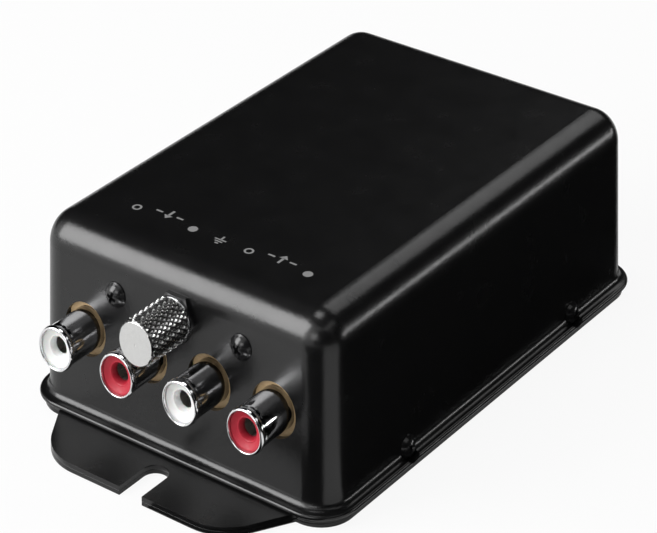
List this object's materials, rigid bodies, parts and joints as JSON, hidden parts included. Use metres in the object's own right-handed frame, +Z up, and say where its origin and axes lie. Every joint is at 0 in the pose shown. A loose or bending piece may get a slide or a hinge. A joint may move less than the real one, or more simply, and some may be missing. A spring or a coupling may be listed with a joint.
{
  "type": "phono preamp",
  "caption": "Small black steel phono preamplifier box with white and red phono sockets, a knurled ground terminal and slotted fixing tabs.",
  "frame": {"origin": "middle of the case footprint, on the surface that the foot plate stands on", "axes": "+X to the right along the socket wall, +Y from the socket wall to the back wall, +Z up"},
  "size_m": [0.0734, 0.131, 0.0366],
  "materials": {
    "case_black": "satin black powder coat with a faint orange peel on deep-drawn steel",
    "screw_black": "blackened steel screws, semi-gloss",
    "tinned_steel": "tinned sheet and plated steel",
    "paper_board": "tan paper-phenolic sheet",
    "chrome": "bright nickel-chrome plate",
    "insert_white": "white moulded plastic",
    "insert_red": "red moulded plastic",
    "board_green": "green solder mask on glass-epoxy board",
    "chip_black": "black moulded epoxy",
    "film_red": "red dipped film capacitor boxes",
    "can_blue": "blue sleeved capacitor cans",
    "can_black": "black sleeved capacitor cans",
    "resistor_blue": "light blue lacquered resistors",
    "wire_yellow": "yellow wire insulation",
    "wire_white": "white wire insulation",
    "wire_black": "black wire insulation",
    "wire_green": "green wire insulation"
  },
  "bodies": {
    "housing": {"case": "case_black", "base_plate": "case_black", "foot_plate": "case_black", "case_screws": "screw_black", "board_screws_front": "screw_black", "board_nuts_front": "tinned_steel", "socket_board_out": "paper_board", "socket_board_in": "paper_board", "shell_out_left": "chrome", "shell_out_right": "chrome", "shell_in_left": "chrome", "shell_in_right": "chrome", "insert_out_left": "insert_white", "insert_out_right": "insert_red", "insert_in_left": "insert_white", "insert_in_right": "insert_red", "contact_out_left": "tinned_steel", "contact_out_right": "tinned_steel", "contact_in_left": "tinned_steel", "contact_in_right": "tinned_steel", "ring_out_left": "tinned_steel", "ring_out_right": "tinned_steel", "ring_in_left": "tinned_steel", "ring_in_right": "tinned_steel", "ground_post": "chrome", "ground_lug": "tinned_steel", "lock_washer": "tinned_steel", "post_nut": "chrome", "circuit_board": "board_green", "board_spacers": "tinned_steel", "board_screws": "tinned_steel", "input_chip": "chip_black", "output_chip": "chip_black", "film_capacitors": "film_red", "coupling_capacitors": "can_blue", "supply_capacitors": "can_black", "resistors": "resistor_blue", "voltage_regulator": "chip_black", "rectifier_diode": "chip_black", "inlet_housing": "chip_black", "inlet_pin": "tinned_steel", "inlet_spring": "tinned_steel", "output_wires": "wire_yellow", "input_wires": "wire_white", "return_wires": "wire_black", "chassis_wire": "wire_green"},
    "terminal_washer": {"terminal_washer": "chrome"},
    "thumb_nut": {"thumb_nut": "chrome"}
  },
  "joints": [
    {"name": "thumb_nut_travel", "type": "slide", "parent": "housing", "child": "terminal_washer", "axis": [0, -1, 0], "range_m": [0, 0.0035]},
    {"name": "thumb_nut_turn", "type": "hinge", "parent": "terminal_washer", "child": "thumb_nut", "pos_m": [0, -0.0534, 0.0277], "axis": [0, -1, 0], "range_deg": [0, 1801]}
  ],
  "couplings": [
    {"joint": "thumb_nut_turn", "follows": "thumb_nut_travel", "rad_per_m": 8976}
  ]
}
